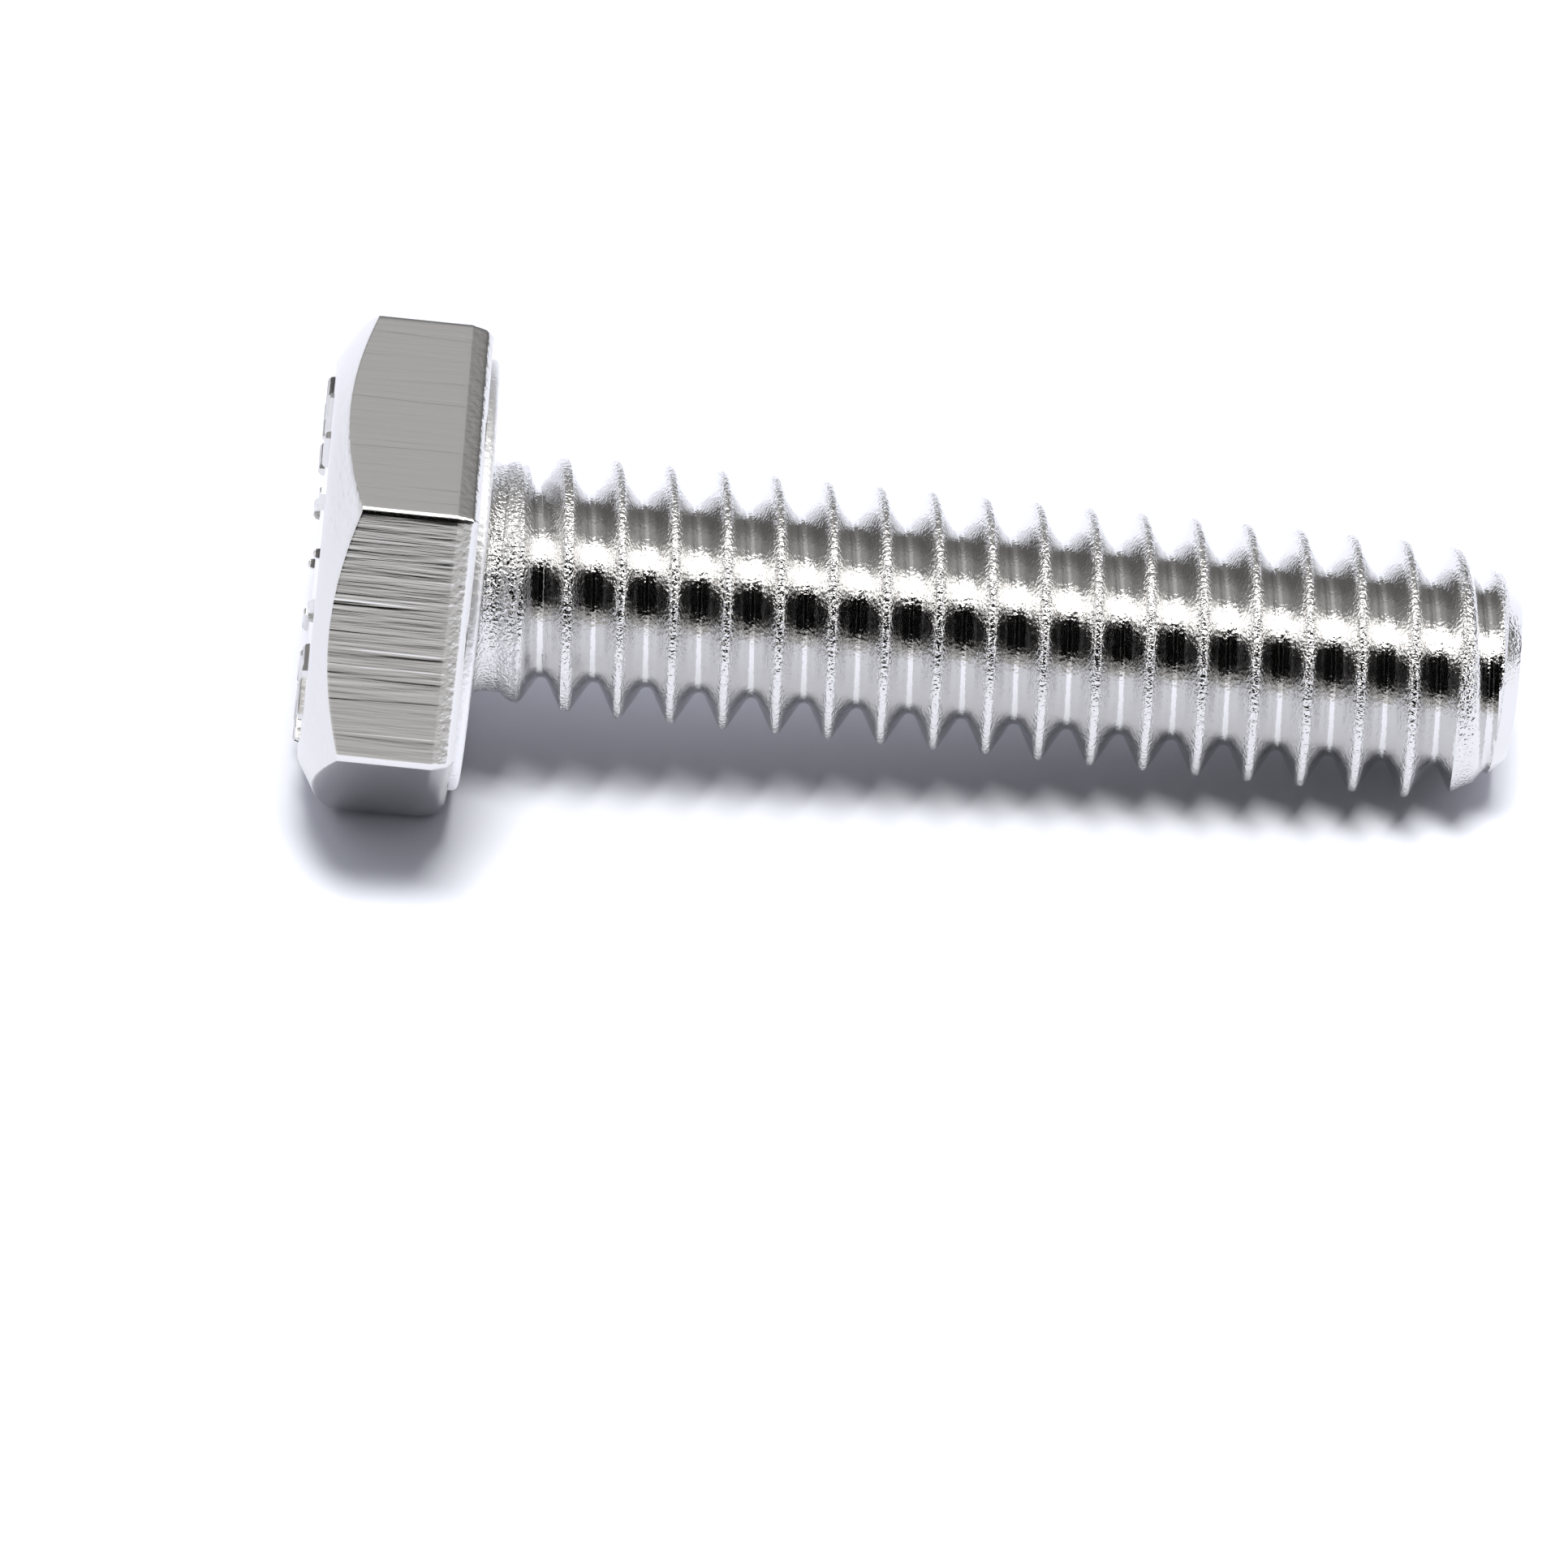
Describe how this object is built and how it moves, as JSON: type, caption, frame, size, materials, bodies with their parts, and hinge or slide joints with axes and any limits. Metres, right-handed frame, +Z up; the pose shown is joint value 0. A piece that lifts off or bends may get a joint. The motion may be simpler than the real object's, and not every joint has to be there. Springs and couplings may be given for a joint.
{
  "type": "hex bolt",
  "caption": "Fully threaded hex head bolt: chamfered hexagon head, thin round washer face, short filleted neck, right-hand coarse thread and chamfered point.",
  "frame": {"origin": "centre of the bearing face, on the bolt's axis", "axes": "X along the bolt's axis with the head towards +X and the point towards -X; Z up, square to the two flats that face up and down; Y across the corners"},
  "size_m": [0.0291, 0.0126, 0.0108],
  "materials": {
    "forged_steel": "plain stainless steel, satin, with fine trimming lines along the flats",
    "rolled_steel": "plain stainless steel, bright and smooth as rolled"
  },
  "bodies": {
    "root": {"hex_head": "forged_steel", "washer_face": "forged_steel", "head_marks": "forged_steel", "neck": "rolled_steel", "threaded_shank": "rolled_steel", "chamfered_point": "rolled_steel"}
  },
  "joints": []
}
